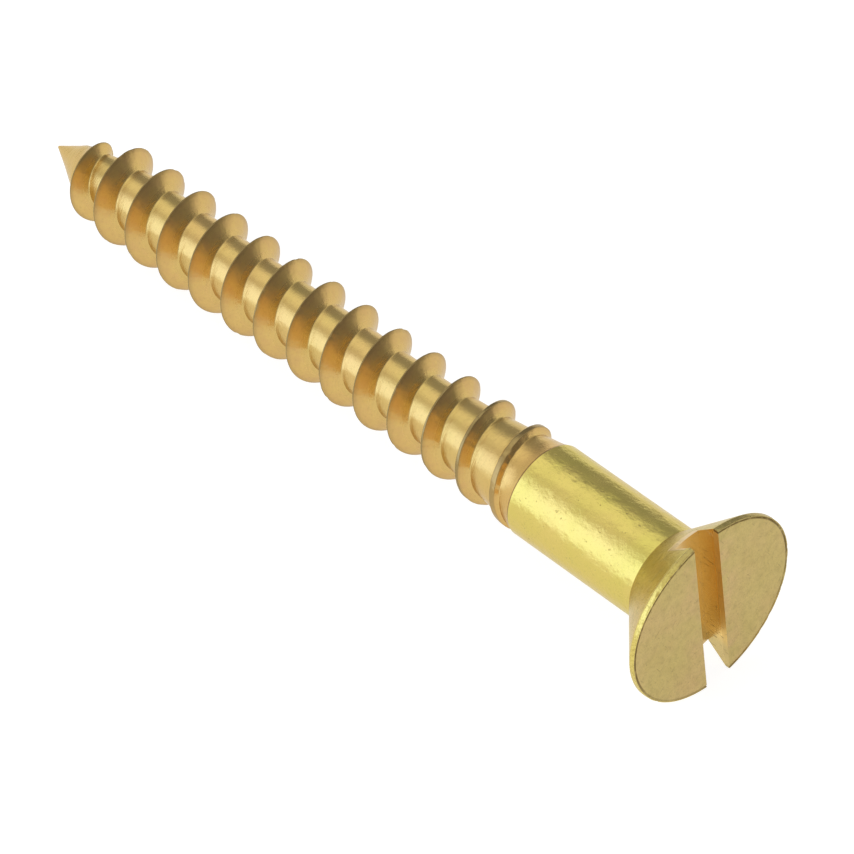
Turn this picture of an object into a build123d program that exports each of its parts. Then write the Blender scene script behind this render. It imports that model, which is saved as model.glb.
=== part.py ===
# Slotted countersunk wood screw, cut thread, solid brass, nominal 4 x 35 mm.
# Units are millimetres.  X runs along the screw, from the flat face of the
# head (x = 0) to the point; +Z is up and lies along the driver slot.
from build123d import *
import os
from math import acos, atan2, cos, hypot, sin

# ---------------------------------------------------------------- dimensions
overall_length = 34.89      # flat face of the head to the end of the point

head_radius = 3.779         # rim of the head
head_land = 0.21            # short upright land round the rim
head_edge_round = 0.07      # roll-over between the land and the flat face
head_height = 2.145         # flat face to the small end of the 90 degree cone

slot_width = 1.13
slot_depth = 1.02           # at the middle of the head
slot_depth_at_rim = 0.98   # a large round saw leaves the floor nearly flat

shank_radius = 1.857        # plain shank, as drawn
shank_end = 8.17            # where the thread run-out starts

thread_pitch = 1.80         # right-hand, single start
crest_radius = 1.852        # a touch under the shank, so both pass one hole
root_radius = 1.181
crest_land = 0.050          # width of the flat left on the crest
flank_head_side = 0.468     # axial width of the flank that faces the head
flank_tip_side = 0.403      # axial width of the flank that faces the point
crest_at_top = 0.410        # x of a crest on the top (+Z) line, less n pitches
ridge_foot = 0.08           # how far the flanks run on inside the core

thread_end = 33.67          # where the smooth cone of the point takes over
point_base_radius = 0.669
point_round = 0.06          # radius of the blunted end

# thread root along the screw: a taper runs it out into the plain shank, and
# it thins again behind the point
root_line = [
    (shank_end, shank_radius),
    (8.52, 1.744),
    (9.20, 1.640),
    (10.86, 1.428),
    (12.37, 1.290),
    (14.11, 1.196),
    (16.20, root_radius),
]
root_tip_line = [
    (28.60, root_radius),
    (30.45, 1.155),
    (31.80, 1.080),
    (32.70, 0.975),
    (thread_end, point_base_radius),
]

# outline that the crest is trimmed to, behind the point
crest_line = [
    (31.30, 1.875),
    (32.20, 1.740),
    (32.62, 1.480),
    (33.05, 1.110),
    (thread_end, point_base_radius),
]

os.makedirs("parts", exist_ok=True)

# ------------------------------------------------------------ head, with slot
with BuildPart() as countersunk_head:
    with BuildSketch(Plane.XZ) as head_section:
        with BuildLine():
            Polyline(
                (0, 0),
                (0, head_radius),
                (head_land, head_radius),
                (head_height, shank_radius),
                (head_height, 0),
                close=True,
            )
        make_face()
    revolve(axis=Axis.X)
    rim = countersunk_head.edges().filter_by(GeomType.CIRCLE).sort_by(Axis.X)[0]
    fillet(rim, radius=head_edge_round)
    # the slot is sawn with a round blade whose spindle lies above the head
    rise = slot_depth - slot_depth_at_rim
    saw_radius = (head_radius**2 + rise**2) / (2 * rise)
    with BuildSketch(Plane.XZ.offset(-slot_width / 2)) as slot_section:
        with Locations((slot_depth - saw_radius, 0)):
            Circle(saw_radius)
    extrude(amount=slot_width, mode=Mode.SUBTRACT)
countersunk_head.part.label = "countersunk_head"
export_step(countersunk_head.part, "parts/countersunk_head.step")

# --------------------------------------------------------------- plain shank
with BuildPart() as plain_shank:
    with BuildSketch(Plane.YZ.offset(head_height)) as shank_section:
        Circle(shank_radius)
    extrude(amount=shank_end - head_height)
plain_shank.part.label = "plain_shank"
export_step(plain_shank.part, "parts/plain_shank.step")

# ------------------------------------------- thread, with run-out and taper
# The ridge is one section carried round the root on a right-hand helix, with
# its flanks carried on a little way inside the core.  It is made turn by turn,
# each turn starting on the top line where the one before it ended.
flank_height = crest_radius - root_radius
foot_radius = root_radius - ridge_foot
foot_share = (flank_height + ridge_foot) / flank_height
foot_tip_side = crest_land / 2 + flank_tip_side * foot_share
foot_head_side = crest_land / 2 + flank_head_side * foot_share
first_turn = crest_at_top + 4 * thread_pitch
turns = []
for turn in range(15):
    turn_start = first_turn + turn * thread_pitch
    with BuildPart() as thread_turn:
        with BuildLine() as turn_path:
            Helix(
                pitch=thread_pitch,
                height=thread_pitch,
                radius=crest_radius,
                center=(turn_start, 0, 0),
                direction=(1, 0, 0),
            )
        with BuildSketch(
            Plane(origin=(turn_start, 0, 0), x_dir=(1, 0, 0), z_dir=(0, -1, 0))
        ) as ridge_section:
            with BuildLine():
                Polyline(
                    (-crest_land / 2, crest_radius),
                    (crest_land / 2, crest_radius),
                    (foot_tip_side, foot_radius),
                    (foot_tip_side, 0.50),
                    (-foot_head_side, 0.50),
                    (-foot_head_side, foot_radius),
                    close=True,
                )
            make_face()
        sweep(path=turn_path.line, is_frenet=True)
        # trimmed square to the run-out ring, and tapered in behind the point
        with BuildSketch(Plane.XY) as crest_section:
            with BuildLine():
                Polyline(
                    (shank_end, 0),
                    (shank_end, crest_line[0][1]),
                    crest_line[0],
                )
                Spline(*crest_line)
                Polyline(crest_line[-1], (thread_end, 0), (shank_end, 0))
            make_face()
        revolve(axis=Axis.X, mode=Mode.INTERSECT)
    turns.append(thread_turn.part)

with BuildPart() as threaded_shank:
    # the core that the ridge stands on
    with BuildSketch(Plane.XY) as core_section:
        with BuildLine():
            Line((shank_end, 0), root_line[0])
            Spline(*root_line, tangents=((0.95, -0.31), (1, 0)))
            Line(root_line[-1], root_tip_line[0])
            Spline(*root_tip_line, tangents=((1, 0), (0.87, -0.49)))
            Polyline(root_tip_line[-1], (thread_end, 0), (shank_end, 0))
        make_face()
    revolve(axis=Axis.X)
    for ridge in turns:
        add(ridge)
threaded_shank.part.label = "threaded_shank"
export_step(threaded_shank.part, "parts/threaded_shank.step")

# --------------------------------------------------------------------- point
# a plain cone, tangent to a tiny ball at the very end
ball_x = overall_length - point_round
reach = ball_x - thread_end
half_angle = acos(point_round / hypot(point_base_radius, reach)) - atan2(
    reach, point_base_radius
)
round_start = (
    ball_x + point_round * sin(half_angle),
    point_round * cos(half_angle),
)
round_middle = (
    ball_x + point_round * sin(0.785 + half_angle / 2),
    point_round * cos(0.785 + half_angle / 2),
)
with BuildPart() as gimlet_point:
    with BuildSketch(Plane.XZ) as point_section:
        with BuildLine():
            Polyline(
                (overall_length, 0),
                (thread_end, 0),
                (thread_end, point_base_radius),
                round_start,
            )
            ThreePointArc(round_start, round_middle, (overall_length, 0))
        make_face()
    revolve(axis=Axis.X)
gimlet_point.part.label = "gimlet_point"
export_step(gimlet_point.part, "parts/gimlet_point.step")

# ---------------------------------------------------------------- whole screw
for piece in (countersunk_head, plain_shank, threaded_shank, gimlet_point):
    box = piece.part.bounding_box()
    print(
        piece.part.label,
        "x %.3f to %.3f" % (box.min.X, box.max.X),
        "across %.3f x %.3f" % (box.size.Y, box.size.Z),
        "volume %.3f" % piece.part.volume,
        "valid", piece.part.is_valid,
        "solids", len(piece.part.solids()),
    )
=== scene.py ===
# Slotted countersunk brass wood screw, lying on a pale studio floor.
# Row frame: +X from the head's flat face to the point, +Z up and along the
# driver slot.  Lengths are worked out in millimetres and scaled at the end.
import bpy
import bmesh
import math
import numpy as np
from mathutils import Matrix, Vector


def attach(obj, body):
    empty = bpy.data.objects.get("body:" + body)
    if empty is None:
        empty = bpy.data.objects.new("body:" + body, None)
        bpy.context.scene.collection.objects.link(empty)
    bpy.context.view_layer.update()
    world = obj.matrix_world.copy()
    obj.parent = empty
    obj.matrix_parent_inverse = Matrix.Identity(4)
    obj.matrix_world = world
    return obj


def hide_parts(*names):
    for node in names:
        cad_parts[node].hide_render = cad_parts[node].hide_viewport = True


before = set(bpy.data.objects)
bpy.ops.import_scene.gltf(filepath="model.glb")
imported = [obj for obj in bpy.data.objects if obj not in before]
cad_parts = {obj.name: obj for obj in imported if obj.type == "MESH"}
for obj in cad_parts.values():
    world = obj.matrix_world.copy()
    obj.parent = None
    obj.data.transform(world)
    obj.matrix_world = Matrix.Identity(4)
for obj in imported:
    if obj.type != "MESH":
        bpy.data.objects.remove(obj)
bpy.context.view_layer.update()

MM = 0.001
scene = bpy.context.scene


# ------------------------------------------------------------------ helpers
def collection_add(obj):
    scene.collection.objects.link(obj)
    return obj


def mesh_object(name, verts, faces):
    mesh = bpy.data.meshes.new(name)
    mesh.from_pydata([tuple(v) for v in verts], [], faces)
    mesh.update()
    return collection_add(bpy.data.objects.new(name, mesh))


def value_noise(seed, *coords):
    """Smooth repeatable noise in -1..1 at points given as equal arrays."""
    coords = [np.asarray(c, float) for c in coords]
    cells = [np.floor(c).astype(np.int64) for c in coords]
    parts = [c - k for c, k in zip(coords, cells)]
    parts = [p * p * (3 - 2 * p) for p in parts]
    total = np.zeros_like(coords[0])
    n = len(coords)
    for corner in range(2 ** n):
        weight = np.ones_like(coords[0])
        h = np.full(coords[0].shape, seed * 7919 + 17, np.int64)
        for axis in range(n):
            bit = (corner >> axis) & 1
            weight = weight * (parts[axis] if bit else 1 - parts[axis])
            h = (h ^ (cells[axis] + bit) * (73856093, 19349663, 83492791)[axis]) & 0x7FFFFFFF
            h = (h * 1103515245 + 12345) & 0x7FFFFFFF
        h = ((h >> 7) * 2654435761) & 0xFFFFFFFF
        total = total + weight * (((h >> 9) & 0xFFFF) / 32767.5 - 1)
    return total


def smooth_curve(points):
    """Monotone cubic through (x, y) points, as a function of arrays."""
    px = np.array([p[0] for p in points], float)
    py = np.array([p[1] for p in points], float)
    h = np.diff(px)
    d = np.diff(py) / h
    m = np.zeros(len(px))
    m[0], m[-1] = d[0], d[-1]
    for i in range(1, len(px) - 1):
        if d[i - 1] * d[i] > 0:
            w1, w2 = 2 * h[i] + h[i - 1], h[i] + 2 * h[i - 1]
            m[i] = (w1 + w2) / (w1 / d[i - 1] + w2 / d[i])

    def curve(x):
        x = np.clip(x, px[0], px[-1])
        i = np.clip(np.searchsorted(px, x) - 1, 0, len(h) - 1)
        t = (x - px[i]) / h[i]
        return (
            (1 + 2 * t) * (1 - t) ** 2 * py[i]
            + t * (1 - t) ** 2 * h[i] * m[i]
            + t * t * (3 - 2 * t) * py[i + 1]
            + t * t * (t - 1) * h[i] * m[i + 1]
        )

    return curve


def around(x, r, turn):
    """Point at x, radius r, at an angle from +Z towards -Y."""
    return np.stack([x, -r * np.sin(turn), r * np.cos(turn)], -1)


def cap_and_clean(obj, merge):
    """Merges the collapsed rows, closes the open rings, faces outwards."""
    bm = bmesh.new()
    bm.from_mesh(obj.data)
    bmesh.ops.remove_doubles(bm, verts=bm.verts, dist=merge)
    bmesh.ops.dissolve_degenerate(bm, edges=bm.edges, dist=merge)
    loose = [v for v in bm.verts if not v.link_faces]
    bmesh.ops.delete(bm, geom=loose, context="VERTS")
    rim = [e for e in bm.edges if len(e.link_faces) == 1]
    bmesh.ops.holes_fill(bm, edges=rim, sides=0)
    bmesh.ops.recalc_face_normals(bm, faces=bm.faces)
    bm.to_mesh(obj.data)
    bm.free()
    obj.data.update()


def shade(obj, angle):
    obj.data.shade_smooth()
    obj.data.set_sharp_from_angle(angle=math.radians(angle))


# --------------------------------------------------------------- dimensions
R_HEAD, LAND, H_HEAD = 3.779, 0.195, 2.145
RIM_TRIM = 0.32
SLOT, DEPTH, DEPTH_RIM = 1.13, 1.020, 0.980
R_SHANK, X_RING = 1.857, 8.17
PITCH, R_CREST, R_ROOT = 1.80, 1.852, 1.181
HALF_LAND, K_HEAD, K_TIP = 0.018, 0.697, 0.56
CREST_AT_TOP = 0.410
X_CONE, R_CONE = 33.67, 0.669
X_END, R_END = 34.89, 0.06

core_radius = smooth_curve([
    (X_RING, R_SHANK), (8.52, 1.744), (9.20, 1.640), (10.86, 1.428),
    (12.37, 1.290), (14.11, 1.196), (16.20, R_ROOT), (28.60, R_ROOT),
    (30.45, 1.150), (31.80, 1.000), (32.80, 0.850), (X_CONE, R_CONE),
])
crest_trim = smooth_curve([
    (0.0, 1.875), (30.40, 1.875), (31.31, 1.815), (31.80, 1.790), (32.21, 1.670),
    (32.60, 1.500), (33.00, 1.250), (33.20, 1.070), (33.42, 0.850), (X_CONE, R_CONE),
])


def core_ahead(c, x):
    """Core on the point side of the crest at c: the last groove fades out into
    the plain cone of the point."""
    w = np.clip((c - 31.50) / 0.70, 0, 1)
    w = w * w * (3 - 2 * w)
    cone = np.minimum(R_ROOT, R_CONE + 0.548 * (X_CONE - x))
    notch = 0.14 * np.exp(-(((c - 33.15) / 0.30) ** 2)) * np.exp(-(((x - c - 0.26) / 0.14) ** 2))
    return core_radius(x) * (1 - w) + np.maximum(cone, R_CONE) * w - notch * w


# ------------------------------------------------------------ threaded shank
def make_thread():
    per_turn = 256
    first = int(math.floor((X_RING - 2.2 - CREST_AT_TOP) / PITCH * per_turn))
    last = int(math.ceil((X_CONE + 0.9 - CREST_AT_TOP) / PITCH * per_turn))
    step = np.arange(first, last + 1)
    turn = step * 2 * np.pi / per_turn
    crest = CREST_AT_TOP + PITCH * turn / (2 * np.pi)

    def land_at(c):
        g = (core_radius(c) - R_ROOT) / (R_SHANK - R_ROOT)
        return HALF_LAND + 0.13 * np.clip(g, 0, 1)

    def wander(seed, t, scale):
        return value_noise(seed, t * scale)

    here, there = crest, crest + PITCH
    l0, l1 = land_at(here), land_at(there)
    l0 = l0 * (1 + 0.16 * wander(3, turn, 2.3) + 0.10 * wander(4, turn, 9.0))
    l1 = l1 * (
        1
        + 0.16 * wander(3, turn + 2 * np.pi, 2.3)
        + 0.10 * wander(4, turn + 2 * np.pi, 9.0)
    )
    s_tip = here + l0 + K_TIP * 0.5
    s_head = there - l1 - K_HEAD * 0.5

    # behind the point the ridge gets lower but keeps its shape
    top, next_top = np.minimum(R_CREST, crest_trim(here)), np.minimum(R_CREST, crest_trim(there))

    crest_a = here - 0.40 * (R_CREST - top)
    crest_b = there - 0.40 * (R_CREST - next_top)

    def core(x):
        return core_ahead(here, x)

    for _ in range(12):
        s_tip = crest_a + l0 + K_TIP * np.maximum(top - core(s_tip), 0)
        s_head = crest_b - l1 - K_HEAD * np.maximum(next_top - core(s_head), 0)
    edge_a, edge_b = crest_a + l0, crest_b - l1
    room = np.minimum(1.0, np.maximum(s_tip - edge_a, 0) / 0.08)
    room_b = np.minimum(1.0, np.maximum(edge_b - s_head, 0) / 0.08)
    e = 0.014 * room
    e_b = 0.014 * room_b
    f = 0.022 * room
    f_b = 0.022 * room_b

    def flank_tip(x):
        return top - (x - edge_a) / K_TIP

    def flank_head(x):
        return next_top - (edge_b - x) / K_HEAD

    # each row: where it runs, its radius, and how much it is flank and crest
    rows = []
    rows.append((crest_a, top, 0, 1))
    rows.append((edge_a - 1.2 * e, top, 0, 1))
    rows.append((edge_a - 0.2 * e, top - 0.22 * e, 0.2, 1))
    rows.append((edge_a + e, flank_tip(edge_a + e), 1, 0.4))
    for q in (0.25, 0.5, 0.75):
        x = edge_a + e + q * (s_tip - f - edge_a - e)
        rows.append((x, flank_tip(x), 1, 0))
    rows.append((s_tip - f, flank_tip(s_tip - f), 1, 0))
    rows.append((s_tip - 0.25 * f, core(s_tip - 0.25 * f) + 0.42 * f, 0.7, 0))
    rows.append((s_tip + 0.5 * f, core(s_tip + 0.5 * f) + 0.13 * f, 0.3, 0))
    rows.append((s_tip + 1.3 * f, core(s_tip + 1.3 * f), 0, 0))
    for q in (0.12, 0.24, 0.36, 0.48, 0.60, 0.72, 0.86):
        x = s_tip + 1.3 * f + q * (s_head - 1.3 * f_b - s_tip - 1.3 * f)
        rows.append((x, core(x), 0, 0))
    rows.append((s_head - 1.3 * f_b, core(s_head - 1.3 * f_b), 0, 0))
    rows.append((s_head - 0.5 * f_b, core(s_head - 0.5 * f_b) + 0.16 * f_b, 0.3, 0))
    rows.append((s_head + 0.25 * f_b, core(s_head) + 0.55 * f_b, 0.7, 0))
    rows.append((s_head + f_b, flank_head(s_head + f_b), 1, 0))
    for q in (0.2, 0.4, 0.6, 0.8):
        x = s_head + f_b + q * (edge_b - e_b - s_head - f_b)
        rows.append((x, flank_head(x), 1, 0))
    rows.append((edge_b - e_b, flank_head(edge_b - e_b), 1, 0.4))
    rows.append((edge_b + 0.2 * e_b, next_top - 0.22 * e_b, 0.2, 1))
    rows.append((edge_b + 1.2 * e_b, next_top, 0, 1))

    count = len(rows)
    s = np.stack([r[0] for r in rows], 1)
    rad = np.stack([r[1] for r in rows], 1)
    ang = np.repeat(turn[:, None], count, 1)
    base = core_ahead(here[:, None], s)
    rad = np.maximum(rad, base)
    # the tool broke out a little along the crest: shallow nicks and waves
    near = np.clip((rad - (R_CREST - 0.07)) / 0.07, 0, 1)
    helix = turn[:, None] + 0 * s
    later = np.zeros(count)
    later[count - 5:] = 2 * np.pi          # these rows belong to the next crest
    helix = helix + later[None, :]
    nick = np.clip(value_noise(11, helix * 5.5, s * 0 + 3.3) - 0.45, 0, 1)
    wave = value_noise(12, helix * 2.1, s * 0 + 1.7)
    rad = rad - near * (0.045 * nick + 0.008 * (wave + 1))
    rad = np.maximum(rad, base)
    low = s <= X_RING
    high = s >= X_CONE
    s = np.where(low, X_RING, np.where(high, X_CONE, s))
    rad = np.where(low, R_SHANK, np.where(high, R_CONE, rad))
    snapped = (np.round(step) % per_turn) * 2 * np.pi / per_turn
    ang = np.repeat(snapped[:, None], count, 1)
    points = around(s, rad, ang).reshape(-1, 3) * MM

    n = len(step)
    faces = []
    fixed = (low | high)
    for i in range(n - 1):
        for j in range(count):
            a, b = (i, j), (i + 1, j)
            if j < count - 1:
                c, d = (i + 1, j + 1), (i, j + 1)
            else:
                c, d = (i + 1 + per_turn, 0), (i + per_turn, 0)
                if i + 1 + per_turn >= n:
                    continue
            if fixed[a] and fixed[b] and fixed[c] and fixed[d]:
                if low[a] == low[c]:
                    continue
            faces.append([p[0] * count + p[1] for p in (a, b, c, d)])
    obj = mesh_object("thread_brass", points, faces)
    rise = np.clip((rad - base) / 0.25, 0, 1)
    flank = (rise * np.array([r[2] for r in rows], float)[None, :]).ravel()
    crest_part = (rise * np.array([r[3] for r in rows], float)[None, :]).ravel()
    high_part = (flank.reshape(rad.shape) * np.clip((rad - (R_CREST - 0.36)) / 0.30, 0, 1)).ravel()
    for name, values in (("flank", flank), ("crest", crest_part), ("upper", high_part)):
        layer = obj.data.attributes.new(name, "FLOAT", "POINT")
        layer.data.foreach_set("value", values.astype(np.float32))
    cap_and_clean(obj, 2e-7)
    shade(obj, 40)
    return obj


# --------------------------------------------------------------- plain shank
def make_shank():
    around_n, along_n = 400, 180
    x = np.linspace(H_HEAD, X_RING, along_n)
    t = np.arange(around_n) * 2 * np.pi / around_n
    X, T = np.meshgrid(x, t, indexing="ij")
    y3, z3 = R_SHANK * np.cos(T), R_SHANK * np.sin(T)
    # handling dimples, and the faint waviness of drawn wire
    dents = value_noise(21, X * 3.1, y3 * 3.1, z3 * 3.1)
    small = value_noise(22, X * 6.0, y3 * 6.0, z3 * 6.0)
    depth = 0.016 * np.clip(dents - 0.50, 0, 1) + 0.012 * np.clip(small - 0.55, 0, 1)
    depth = depth + 0.0010 * (1 + value_noise(23, X * 0.9, y3 * 1.8, z3 * 1.8))
    depth = depth + 0.0011 * (1 + value_noise(24, X * 2.2, y3 * 2.2, z3 * 2.2))
    edge = np.minimum(X - H_HEAD, X_RING - X)
    rad = R_SHANK - depth * np.clip(edge / 0.15, 0, 1)
    points = around(X, rad, T).reshape(-1, 3) * MM
    faces = []
    for i in range(along_n - 1):
        for j in range(around_n):
            k = (j + 1) % around_n
            faces.append([
                i * around_n + j, i * around_n + k,
                (i + 1) * around_n + k, (i + 1) * around_n + j,
            ])
    obj = mesh_object("shank_brass", points, faces)
    cap_and_clean(obj, 2e-7)
    shade(obj, 40)
    return obj


# ---------------------------------------------------------------------- point
def make_point():
    around_n = 128
    ball = X_END - R_END
    reach = ball - X_CONE
    half = math.acos(R_END / math.hypot(R_CONE, reach)) - math.atan2(reach, R_CONE)
    sx, sr = ball + R_END * math.sin(half), R_END * math.cos(half)
    line = [(X_CONE + (sx - X_CONE) * q, R_CONE + (sr - R_CONE) * q) for q in np.linspace(0, 1, 36)]
    for a in np.linspace(half, math.pi / 2, 8)[1:-1]:
        line.append((ball + R_END * math.sin(a), R_END * math.cos(a)))
    x = np.array([p[0] for p in line])
    r = np.array([p[1] for p in line])
    t = np.arange(around_n) * 2 * np.pi / around_n
    X, T = np.meshgrid(x, t, indexing="ij")
    Rr = np.repeat(r[:, None], around_n, 1)
    rough = value_noise(31, X * 4, np.cos(T) * 2, np.sin(T) * 2)
    fade = np.clip((X - X_CONE) / 0.15, 0, 1)
    Rr = Rr * (1 - 0.010 * fade * (rough + 1))
    points = around(X, Rr, T).reshape(-1, 3)
    points = np.concatenate([points, [[X_END, 0, 0]]]) * MM
    faces = []
    for i in range(len(x) - 1):
        for j in range(around_n):
            k = (j + 1) % around_n
            faces.append([
                i * around_n + j, i * around_n + k,
                (i + 1) * around_n + k, (i + 1) * around_n + j,
            ])
    tip = len(points) - 1
    base = (len(x) - 1) * around_n
    for j in range(around_n):
        faces.append([base + j, base + (j + 1) % around_n, tip])
    obj = mesh_object("point_brass", points, faces)
    cap_and_clean(obj, 2e-7)
    shade(obj, 40)
    return obj


# ----------------------------------------------------------------------- head
def make_head():
    around_n = 480
    line = []                       # from the middle of the face to the cone's end
    for r in (0.0, 0.6, 1.2, 1.8, 2.4, 2.9, 3.3, 3.56):
        line.append((0.0, r))
    # the rim is rolled over a little: a shallow groove, then a rounded lip
    for x, r in (
        (0.002, 3.620), (0.010, 3.648), (0.026, 3.668), (0.040, 3.684), (0.042, 3.700),
        (0.026, 3.716), (0.010, 3.730), (0.004, 3.744), (0.008, 3.757), (0.022, 3.768),
        (0.044, 3.775), (0.070, 3.779),
    ):
        line.append((x, r))
    for x in (0.100, 0.130, 0.160):
        line.append((x, R_HEAD))
    soft = 0.035
    slope = (R_HEAD - R_SHANK) / (H_HEAD - LAND)
    line.append((LAND - soft * 0.8, R_HEAD - 0.002))
    line.append((LAND, R_HEAD - 0.010))
    line.append((LAND + soft * 0.8, R_HEAD - slope * soft * 0.8 - 0.001))
    for q in np.linspace(0.1, 1, 12):
        x = LAND + (H_HEAD - LAND) * q
        line.append((x, R_HEAD - slope * (x - LAND)))
    x = np.array([p[0] for p in line])
    r = np.array([p[1] for p in line])
    t = np.arange(around_n) * 2 * np.pi / around_n
    X, T = np.meshgrid(x[1:], t, indexing="ij")
    Rr = np.repeat(r[1:, None], around_n, 1)
    # the rolled rim is not even: the groove comes and goes, the lip wanders
    cy, cz = np.cos(T) * R_HEAD, np.sin(T) * R_HEAD
    slow = value_noise(41, cy * 0.9, cz * 0.9, X * 0)
    quick = value_noise(42, cy * 4.5, cz * 4.5, X * 9)
    rim = np.clip((Rr - 3.62) / 0.06, 0, 1) * np.clip((0.20 - X) / 0.05, 0, 1)
    groove = np.exp(-(((Rr - 3.692) / 0.026) ** 2)) * (X < 0.06)
    upper = np.clip(0.75 + cz / 5.0, 0.15, 1)
    X = X - groove * 0.036 * (1 - upper * np.clip(0.80 - 0.7 * slow - 0.45 * quick, 0, 1))
    X = X + rim * (Rr > 3.735) * 0.012 * np.clip(quick + 0.4 * slow, 0, 1)
    X = np.maximum(X, 0)
    outer = rim * (X > 0.015) * (Rr > 3.755)
    Rr = Rr - outer * 0.012 * np.clip(quick + 0.6 * slow + 0.9, 0, 2)
    # the rim is worn in a little on the side above the slot
    trim = RIM_TRIM * np.maximum(np.cos(T + 0.14), 0) ** 2.2
    behind = np.clip((H_HEAD - X) / (H_HEAD - LAND), 0, 1)
    Rr = Rr - trim * np.where(X > LAND, behind, np.clip((Rr - 2.9) / 0.7, 0, 1))
    points = around(X, Rr, T).reshape(-1, 3)
    points = np.concatenate([points, [[0, 0, 0]]]) * MM
    faces = []
    rows = len(line) - 1
    for i in range(rows - 1):
        for j in range(around_n):
            k = (j + 1) % around_n
            faces.append([
                i * around_n + j, i * around_n + k,
                (i + 1) * around_n + k, (i + 1) * around_n + j,
            ])
    for j in range(around_n):
        faces.append([len(points) - 1, (j + 1) % around_n, j])
    head = mesh_object("head_brass", points, faces)
    cap_and_clean(head, 2e-7)

    # the saw: a thin disc whose spindle lies above the head
    rise = DEPTH - DEPTH_RIM
    saw = (R_HEAD ** 2 + rise ** 2) / (2 * rise)
    centre = DEPTH - saw
    reach = math.asin(5.2 / saw)
    arc = [(centre + saw * math.cos(a), saw * math.sin(a)) for a in np.linspace(-reach, reach, 61)]
    arc = arc + [(-2.0, 5.2), (-2.0, -5.2)]
    off, skew = -0.035, -0.007      # the cut is a hair off centre and off square
    verts = []
    for y in (off - SLOT / 2, off + SLOT / 2):
        verts += [(px, y + skew * pz, pz) for px, pz in arc]
    n = len(arc)
    faces = [list(range(n))[::-1], [n + i for i in range(n)]]
    for i in range(n):
        k = (i + 1) % n
        faces.append([i, k, n + k, n + i])
    blade = mesh_object("saw_blade", np.array(verts) * MM, faces)
    bm = bmesh.new()
    bm.from_mesh(blade.data)
    bmesh.ops.recalc_face_normals(bm, faces=bm.faces)
    bm.to_mesh(blade.data)
    bm.free()
    cut = head.modifiers.new("slot", "BOOLEAN")
    cut.operation = "DIFFERENCE"
    cut.solver = "EXACT"
    cut.object = blade
    bevel = head.modifiers.new("worn_edges", "BEVEL")
    bevel.width = 0.030 * MM
    bevel.segments = 2
    bevel.limit_method = "ANGLE"
    bevel.angle_limit = math.radians(38)
    bevel.use_clamp_overlap = True
    bpy.context.view_layer.update()
    graph = bpy.context.evaluated_depsgraph_get()
    done = bpy.data.meshes.new_from_object(head.evaluated_get(graph))
    head.modifiers.clear()
    head.data = done
    bpy.data.objects.remove(blade)
    bm = bmesh.new()
    bm.from_mesh(head.data)
    bmesh.ops.remove_doubles(bm, verts=bm.verts, dist=2e-7)
    bmesh.ops.dissolve_degenerate(bm, edges=bm.edges, dist=2e-7)
    bmesh.ops.recalc_face_normals(bm, faces=bm.faces)
    bm.to_mesh(head.data)
    bm.free()
    shade(head, 30)
    return head


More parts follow.
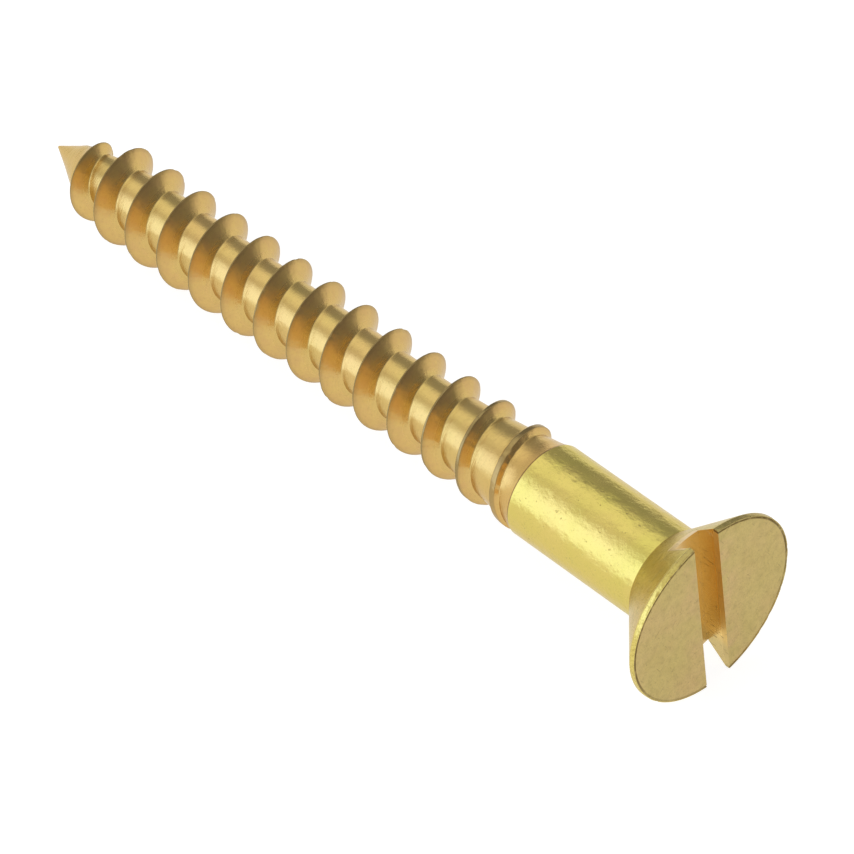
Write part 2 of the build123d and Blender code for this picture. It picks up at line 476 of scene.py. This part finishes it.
# ------------------------------------------------------------------ materials
class Finish:
    """Builds one procedural brass: nodes for tone, roughness and relief."""

    def __init__(self, name):
        self.material = bpy.data.materials.new(name)
        self.material.use_nodes = True
        self.nodes = self.material.node_tree.nodes
        self.links = self.material.node_tree.links
        self.nodes.clear()
        out = self.nodes.new("ShaderNodeOutputMaterial")
        self.bsdf = self.nodes.new("ShaderNodeBsdfPrincipled")
        self.bsdf.inputs["Metallic"].default_value = 1.0
        # real brass doesn't whiten at its edges as fast as a plain mirror
        self.bsdf.inputs["Specular Tint"].default_value = (0.88, 0.84, 0.76, 1)
        self.links.new(self.bsdf.outputs["BSDF"], out.inputs["Surface"])
        self.place = self.nodes.new("ShaderNodeTexCoord").outputs["Object"]
        self.relief = None

    def noise(self, size, detail=3.0, rough=0.55, seed=0.0):
        """Noise whose grains are size mm across; size may differ by axis."""
        sizes = size if isinstance(size, tuple) else (size, size, size)
        mp = self.nodes.new("ShaderNodeMapping")
        mp.inputs["Scale"].default_value = tuple(1 / (v * MM) for v in sizes)
        mp.inputs["Location"].default_value = (seed, 2.7 * seed, 0.6 * seed)
        self.links.new(self.place, mp.inputs["Vector"])
        nz = self.nodes.new("ShaderNodeTexNoise")
        nz.inputs["Scale"].default_value = 1.0
        nz.inputs["Detail"].default_value = detail
        nz.inputs["Roughness"].default_value = rough
        self.links.new(mp.outputs["Vector"], nz.inputs["Vector"])
        return nz.outputs["Fac"]

    def turned(self, size, angle, seed):
        """Streaky noise in the plane of the face, at an angle."""
        mp = self.nodes.new("ShaderNodeMapping")
        mp.inputs["Rotation"].default_value = (math.radians(angle), 0, 0)
        self.links.new(self.place, mp.inputs["Vector"])
        keep, self.place = self.place, mp.outputs["Vector"]
        result = self.noise(size, 2.0, 0.5, seed)
        self.place = keep
        return result

    def ramp(self, source, stops):
        r = self.nodes.new("ShaderNodeValToRGB")
        while len(r.color_ramp.elements) < len(stops):
            r.color_ramp.elements.new(0.5)
        for el, (pos, c) in zip(r.color_ramp.elements, stops):
            el.position = pos
            el.color = (c, c, c, 1) if isinstance(c, (int, float)) else (*c, 1)
        self.links.new(source, r.inputs["Fac"])
        return r.outputs["Color"]

    def mix(self, kind, factor, one, two):
        m = self.nodes.new("ShaderNodeMix")
        m.data_type = "RGBA"
        m.blend_type = kind
        for socket, value in (("Factor", factor), ("A", one), ("B", two)):
            target = m.inputs[socket] if socket != "Factor" else m.inputs[0]
            if socket != "Factor":
                target = [i for i in m.inputs if i.name == socket and i.type == "RGBA"][0]
            if isinstance(value, bpy.types.NodeSocket):
                self.links.new(value, target)
            elif isinstance(value, (int, float)) and socket == "Factor":
                target.default_value = value
            else:
                target.default_value = (*value, 1)
        return [o for o in m.outputs if o.type == "RGBA"][0]

    def math(self, operation, *values):
        m = self.nodes.new("ShaderNodeMath")
        m.operation = operation
        for i, value in enumerate(values):
            if isinstance(value, bpy.types.NodeSocket):
                self.links.new(value, m.inputs[i])
            else:
                m.inputs[i].default_value = value
        return m.outputs["Value"]

    def band(self, source, lo, hi, soft):
        """1 where the value lies between lo and hi."""
        values = []
        for start, end in ((lo - soft, lo + soft), (hi + soft, hi - soft)):
            m = self.nodes.new("ShaderNodeMapRange")
            m.interpolation_type = "SMOOTHSTEP"
            m.inputs["From Min"].default_value = start
            m.inputs["From Max"].default_value = end
            self.links.new(source, m.inputs["Value"])
            values.append(m.outputs["Result"])
        return self.math("MULTIPLY", *values)

    def axis(self, which):
        x = self.nodes.new("ShaderNodeSeparateXYZ")
        self.links.new(self.place, x.inputs["Vector"])
        return x.outputs[which]

    def attribute(self, name):
        a = self.nodes.new("ShaderNodeAttribute")
        a.attribute_name = name
        return a.outputs["Fac"]

    def raise_by(self, source, microns):
        term = self.math("MULTIPLY", source, microns)
        self.relief = term if self.relief is None else self.math("ADD", self.relief, term)

    def done(self, tone, roughness):
        self.links.new(tone, self.bsdf.inputs["Base Color"])
        self.links.new(roughness, self.bsdf.inputs["Roughness"])
        bump = self.nodes.new("ShaderNodeBump")
        bump.inputs["Strength"].default_value = 1.0
        bump.inputs["Distance"].default_value = 0.001 * MM
        self.links.new(self.relief, bump.inputs["Height"])
        self.links.new(bump.outputs["Normal"], self.bsdf.inputs["Normal"])
        return self.material


def head_finish():
    f = Finish("head_brass")
    drift = f.noise(2.2, 4.0, 0.6)
    tone = f.ramp(drift, [(0.32, (0.495, 0.392, 0.142)), (0.50, (0.508, 0.392, 0.150)), (0.68, (0.530, 0.392, 0.164))])
    # pinker beside the slot
    side = f.band(f.axis("Y"), -1.15 * MM, 1.15 * MM, 0.5 * MM)
    side = f.math("MULTIPLY", side, f.ramp(f.noise(1.1, 3.0, 0.6, 4.0), [(0.42, 0.0), (0.62, 0.75)]))
    tone = f.mix("MIX", side, tone, (0.555, 0.385, 0.180))
    # painted highlight: the cone under the head is painted brighter and yellower than the face
    y, z = f.axis("Y"), f.axis("Z")
    radius = f.math("SQRT", f.math("ADD", f.math("MULTIPLY", y, y), f.math("MULTIPLY", z, z)))
    upward = f.math("ADD", f.math("MULTIPLY", y, 0.139), f.math("MULTIPLY", z, 0.990))
    upward = f.math("MAXIMUM", f.math("DIVIDE", upward, f.math("MAXIMUM", radius, 0.1 * MM)), 0.0)
    trim = f.math("MULTIPLY", f.math("POWER", upward, 2.2), RIM_TRIM * MM)
    rim_r = f.math("ADD", trim, radius)
    cone = f.band(f.axis("X"), 0.24 * MM, 9.0 * MM, 0.02 * MM)
    tone = f.mix("MIX", cone, tone, f.ramp(drift, [(0.34, (0.575, 0.470, 0.130)), (0.66, (0.600, 0.450, 0.150))]))
    # the walls of the slot see mostly each other: their brighter, oranger tone, and the bed's, is painted reflection
    # of the light bounced between them
    x = f.nodes.new("ShaderNodeTexCoord")
    sep = f.nodes.new("ShaderNodeSeparateXYZ")
    f.links.new(x.outputs["Normal"], sep.inputs["Vector"])
    wall = f.band(f.math("ABSOLUTE", sep.outputs["Y"]), 0.93, 1.5, 0.03)
    inside = f.band(f.axis("Y"), -0.64 * MM, 0.58 * MM, 0.01 * MM)
    wall = f.math("MULTIPLY", wall, inside)
    bed = f.math("MULTIPLY", inside, f.band(f.axis("X"), 0.40 * MM, 1.30 * MM, 0.05 * MM))
    tone = f.mix("MIX", bed, tone, (0.69, 0.525, 0.270))
    saw = f.noise((0.10, 1.0, 1.4), 3.0, 0.6, 9.0)
    wall_tone = f.ramp(saw, [(0.3, (0.79, 0.560, 0.190)), (0.7, (0.85, 0.610, 0.215))])
    # painted shade: the walls are painted darker towards the lower end of the slot
    low = f.band(f.axis("Z"), -9.0 * MM, -2.45 * MM, 0.35 * MM)
    wall_tone = f.mix("MIX", low, wall_tone, (0.60, 0.465, 0.190))
    tone = f.mix("MIX", wall, tone, wall_tone)
    # specks, pits and a few fine scratches
    outside = f.math("MULTIPLY_ADD", f.math("MAXIMUM", wall, bed), -0.75, 1.0)
    fine = f.noise(0.075, 3.0, 0.65, 2.0)
    tone = f.mix("MULTIPLY", outside, tone, f.ramp(fine, [(0.30, 0.74), (0.43, 0.98), (0.58, 1.0), (0.72, 1.11)]))
    blotch = f.noise(0.30, 3.0, 0.6, 6.0)
    tone = f.mix("MULTIPLY", outside, tone, f.ramp(blotch, [(0.34, 0.91), (0.50, 1.0), (0.66, 1.05)]))
    marks = None
    for size, angle, seed, cut in (
        ((0.5, 0.9, 0.040), 38, 11.0, 0.680),
        ((0.5, 0.6, 0.035), -62, 17.0, 0.690),
        ((0.5, 0.12, 0.09), 20, 23.0, 0.705),
    ):
        one = f.ramp(f.turned(size, angle, seed), [(cut, 0.0), (cut + 0.035, 1.0)])
        marks = one if marks is None else f.math("MAXIMUM", marks, one)
    tone = f.mix("MIX", f.math("MULTIPLY", marks, 0.6), tone, (0.20, 0.145, 0.06))
    # the rim is burnished; painted shade darkens the lip everywhere but on its +Y side, and a dark painted-shade line
    # runs in the groove inside it, stronger on the upper side
    front = f.band(f.axis("X"), -1.0 * MM, 0.225 * MM, 0.02 * MM)
    lip = f.math("MULTIPLY", front, f.band(rim_r, 3.735 * MM, 5.0 * MM, 0.012 * MM))
    lip_tone = f.ramp(fine, [(0.35, (0.50, 0.385, 0.10)), (0.55, (0.66, 0.535, 0.150))])
    # painted shade: the lip is darker away from its +Y side
    lip_shade = f.band(y, -9.0 * MM, 1.25 * MM, 0.6 * MM)
    lip_tone = f.mix("MIX", f.math("MULTIPLY", lip_shade, 0.75), lip_tone, (0.36, 0.275, 0.105))
    tone = f.mix("MIX", lip, tone, lip_tone)
    broken = f.ramp(f.noise((2.0, 0.45, 0.45), 3.0, 0.65, 15.0), [(0.33, 0.25), (0.50, 1.0)])
    upper = f.band(z, -1.6 * MM, 9.0 * MM, 1.6 * MM)
    # painted shade: a dark, broken line in the groove inside the lip, stronger on the upper side
    groove_shade = f.math("MULTIPLY", front, f.band(rim_r, 3.648 * MM, 3.728 * MM, 0.014 * MM))
    groove_shade = f.math("MULTIPLY", groove_shade, f.math("MULTIPLY", broken, f.math("MULTIPLY_ADD", upper, 0.72, 0.28)))
    tone = f.mix("MIX", groove_shade, tone, (0.17, 0.115, 0.035))
    f.raise_by(f.math("MULTIPLY", fine, outside), 9.0)
    f.raise_by(f.math("MULTIPLY", blotch, outside), 6.0)
    f.raise_by(marks, -6.0)
    f.raise_by(f.noise((0.06, 1.2, 1.2), 2.0, 0.6, 3.0), 1.2)
    rough = f.ramp(f.noise(0.9, 3.0, 0.6, 8.0), [(0.3, 0.34), (0.7, 0.46)])
    rough = f.mix("MIX", lip, rough, (0.24, 0.24, 0.24))
    rough = f.mix("MIX", cone, rough, (0.27, 0.27, 0.27))
    return f.done(tone, rough)


def shank_finish():
    f = Finish("shank_brass")
    drift = f.noise(1.9, 4.0, 0.6)
    tone = f.ramp(drift, [(0.34, (0.605, 0.500, 0.122)), (0.66, (0.640, 0.495, 0.140))])
    fine = f.noise(0.10, 3.0, 0.65, 2.0)
    tone = f.mix("MULTIPLY", 1.0, tone, f.ramp(fine, [(0.30, 0.88), (0.44, 1.0), (0.60, 1.0), (0.72, 1.05)]))
    pits = f.noise((0.20, 0.16, 0.16), 2.0, 0.5, 13.0)
    pit = f.ramp(pits, [(0.70, 0.0), (0.75, 1.0)])
    tone = f.mix("MIX", f.math("MULTIPLY", pit, 0.45), tone, (0.26, 0.19, 0.05))
    mottle = f.noise(0.34, 4.0, 0.62, 5.0)
    broad = f.noise((0.9, 0.7, 0.7), 2.0, 0.5, 7.0)
    f.raise_by(fine, 4.0)
    f.raise_by(mottle, 23.0)
    f.raise_by(broad, 32.0)
    f.raise_by(pit, -7.0)
    f.raise_by(f.noise((0.05, 1.5, 1.5), 2.0, 0.6, 3.0), 1.6)
    rough = f.ramp(f.noise(0.5, 3.0, 0.6, 8.0), [(0.3, 0.16), (0.7, 0.28)])
    return f.done(tone, rough)


def thread_finish():
    f = Finish("thread_brass")
    drift = f.noise(2.0, 4.0, 0.6)
    tone = f.ramp(drift, [(0.34, (0.585, 0.420, 0.137)), (0.66, (0.600, 0.405, 0.142))])
    flank = f.attribute("flank")
    crest = f.attribute("crest")
    rings = f.noise((0.040, 1.6, 1.6), 3.0, 0.65, 3.0)
    # painted reflection and shade: the flanks get a slightly redder tone, and their upper part near the crest is
    # painted darker and redder
    flank_noise = f.noise((0.5, 0.35, 0.35), 3.0, 0.6, 6.0)
    flank_tone = f.ramp(flank_noise, [(0.34, (0.590, 0.388, 0.140)), (0.62, (0.615, 0.422, 0.140))])
    tone = f.mix("MIX", flank, tone, flank_tone)
    tone = f.mix("MULTIPLY", f.attribute("upper"), tone, (0.92, 0.89, 0.92))
    # painted shade: the crest lands are painted dark brown
    tone = f.mix("MIX", f.math("MULTIPLY", crest, 0.95), tone, (0.28, 0.200, 0.080))
    tone = f.mix("MULTIPLY", 1.0, tone, f.ramp(rings, [(0.30, 0.965), (0.5, 1.0), (0.70, 1.02)]))
    fine = f.noise(0.10, 3.0, 0.65, 2.0)
    tone = f.mix("MULTIPLY", 1.0, tone, f.ramp(fine, [(0.30, 0.90), (0.44, 1.0), (0.60, 1.0), (0.72, 1.05)]))
    # redder run-out, and the ragged dark line where it meets the shank
    x = f.axis("X")
    start = f.band(x, 7.0 * MM, 9.2 * MM, 1.0 * MM)
    tone = f.mix("MULTIPLY", f.math("MULTIPLY", start, 0.7), tone, (1.0, 0.90, 0.84))
    jitter = f.math("MULTIPLY", f.noise((9.0, 0.14, 0.14), 2.0, 0.5, 12.0), 0.06 * MM)
    line = f.band(f.math("ADD", x, jitter), 8.180 * MM, 8.262 * MM, 0.012 * MM)
    tone = f.mix("MIX", f.math("MULTIPLY", line, 0.75), tone, (0.24, 0.13, 0.045))
    f.raise_by(f.math("MULTIPLY", rings, f.math("MULTIPLY_ADD", flank, -0.62, 1.0)), 5.0)
    f.raise_by(fine, 3.0)
    f.raise_by(f.noise(0.36, 3.0, 0.6, 5.0), 11.0)
    plain = f.ramp(f.noise(0.5, 3.0, 0.6, 8.0), [(0.3, 0.17), (0.7, 0.25)])
    rough = f.mix("MIX", flank, plain, (0.29, 0.29, 0.29))
    return f.done(tone, rough)


head_brass, shank_brass, thread_brass = head_finish(), shank_finish(), thread_finish()

head = make_head()
shank = make_shank()
thread = make_thread()
point = make_point()
for piece, node, material, slot in (
    (head, "countersunk_head", head_brass, "brass_head"),
    (shank, "plain_shank", shank_brass, "brass_shank"),
    (thread, "threaded_shank", thread_brass, "brass_thread"),
    (point, "gimlet_point", thread_brass, "brass_thread"),
):
    piece.data.materials.clear()
    piece.data.materials.append(material)
    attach(piece, "root")
    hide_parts(node)

# ---------------------------------------------------------------------- floor
# The screw lies on the two slot corners of its rim and on a late crest.
lean = math.atan((3.745 - 1.800) / (31.91 - 0.10))
floor_mesh = bpy.data.meshes.new("floor")
size = 1.6
floor_mesh.from_pydata(
    [(-size, -size, 0), (size, -size, 0), (size, size, 0), (-size, size, 0)], [], [(0, 1, 2, 3)]
)
floor = collection_add(bpy.data.objects.new("floor", floor_mesh))
floor.location = Vector((0.10, 0, -3.752)) * MM
floor.rotation_euler = (0, -lean, 0)
pale = bpy.data.materials.new("pale_floor")
pale.use_nodes = True
pb = pale.node_tree.nodes["Principled BSDF"]
pb.inputs["Base Color"].default_value = (0.38, 0.38, 0.38, 1)
pb.inputs["Roughness"].default_value = 0.9
pb.inputs["Specular IOR Level"].default_value = 0.1
# a light table: it glows evenly, so the shadow under the screw stays faint
pb.inputs["Emission Color"].default_value = (1.0, 1.0, 1.0, 1)
pb.inputs["Emission Strength"].default_value = 0.80
floor.data.materials.append(pale)

# --------------------------------------------------------------------- camera
cam_data = bpy.data.cameras.new("camera")
cam_data.sensor_width = 36.0
cam_data.sensor_fit = "HORIZONTAL"
cam_data.lens = 4983.587 / 854 * 36.0
cam_data.clip_start = 0.01
cam_data.clip_end = 50.0
cam = collection_add(bpy.data.objects.new("camera", cam_data))
right = Vector((-0.6813320633, -0.7245138703, -0.1042414087))
up = Vector((0.4841755367, -0.5528888872, 0.6781503728))
back = Vector((-0.5489632677, 0.4115744527, 0.7274928182))
turned = Matrix((right, up, back)).transposed().to_4x4()
turned.translation = Vector((-84.0411, 73.8636, 129.3779)) * MM
cam.matrix_world = turned
scene.camera = cam

# ------------------------------------------------------------- studio lighting
world = bpy.data.worlds.new("studio")
scene.world = world
world.use_nodes = True
wn, wl = world.node_tree.nodes, world.node_tree.links
wn.clear()
w_out = wn.new("ShaderNodeOutputWorld")
w_bg = wn.new("ShaderNodeBackground")
wl.new(w_bg.outputs["Background"], w_out.inputs["Surface"])
w_tc = wn.new("ShaderNodeTexCoord")


def lobe(az, el, inner, outer, amount):
    """A soft-edged patch of the surroundings, brighter or darker than the rest."""
    a, e = math.radians(az), math.radians(el)
    dot = wn.new("ShaderNodeVectorMath")
    dot.operation = "DOT_PRODUCT"
    dot.inputs[1].default_value = (math.cos(e) * math.cos(a), math.cos(e) * math.sin(a), math.sin(e))
    wl.new(w_tc.outputs["Generated"], dot.inputs[0])
    mr = wn.new("ShaderNodeMapRange")
    mr.interpolation_type = "SMOOTHSTEP"
    mr.inputs["From Min"].default_value = math.cos(math.radians(outer))
    mr.inputs["From Max"].default_value = math.cos(math.radians(inner))
    wl.new(dot.outputs["Value"], mr.inputs["Value"])
    patch = wn.new("ShaderNodeVectorMath")
    patch.operation = "SCALE"
    patch.inputs[0].default_value = amount
    wl.new(mr.outputs["Result"], patch.inputs["Scale"])
    return patch.outputs["Vector"]


w_total = wn.new("ShaderNodeVectorMath")
w_total.operation = "ADD"
w_total.inputs[1].default_value = (0.90, 0.90, 0.90)
light = None
for args in (
    (57, 16, 14, 42, (0.76, 0.98, 1.55)),          # large cool window light
    (-22, 55, 6, 28, (0.34, 0.38, 0.36)),          # second, smaller
    (-58, 14, 18, 44, (-0.47, -0.46, -0.42)),      # dark side of the room
    (-166, 4, 30, 68, (-0.66, -0.66, -0.64)),      # dark behind the head
    (165, 8, 10, 30, (0.70, 0.42, 0.05)),          # warm glow low down beside it
):
    term = lobe(*args)
    if light is None:
        light = term
        continue
    both = wn.new("ShaderNodeVectorMath")
    both.operation = "ADD"
    wl.new(light, both.inputs[0])
    wl.new(term, both.inputs[1])
    light = both.outputs["Vector"]
wl.new(light, w_total.inputs[0])
w_least = wn.new("ShaderNodeVectorMath")
w_least.operation = "MAXIMUM"
w_least.inputs[1].default_value = (0.05, 0.05, 0.05)
wl.new(w_total.outputs["Vector"], w_least.inputs[0])
wl.new(w_least.outputs["Vector"], w_bg.inputs["Color"])
w_bg.inputs["Strength"].default_value = 1.0

scene.view_settings.view_transform = "Standard"
scene.view_settings.look = "None"
scene.view_settings.exposure = 0.0
scene.cycles.use_denoising = True
scene.cycles.max_bounces = 12
scene.cycles.glossy_bounces = 8

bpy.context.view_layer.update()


def plain(b):
    return [[float(v) for v in corner] for corner in b]
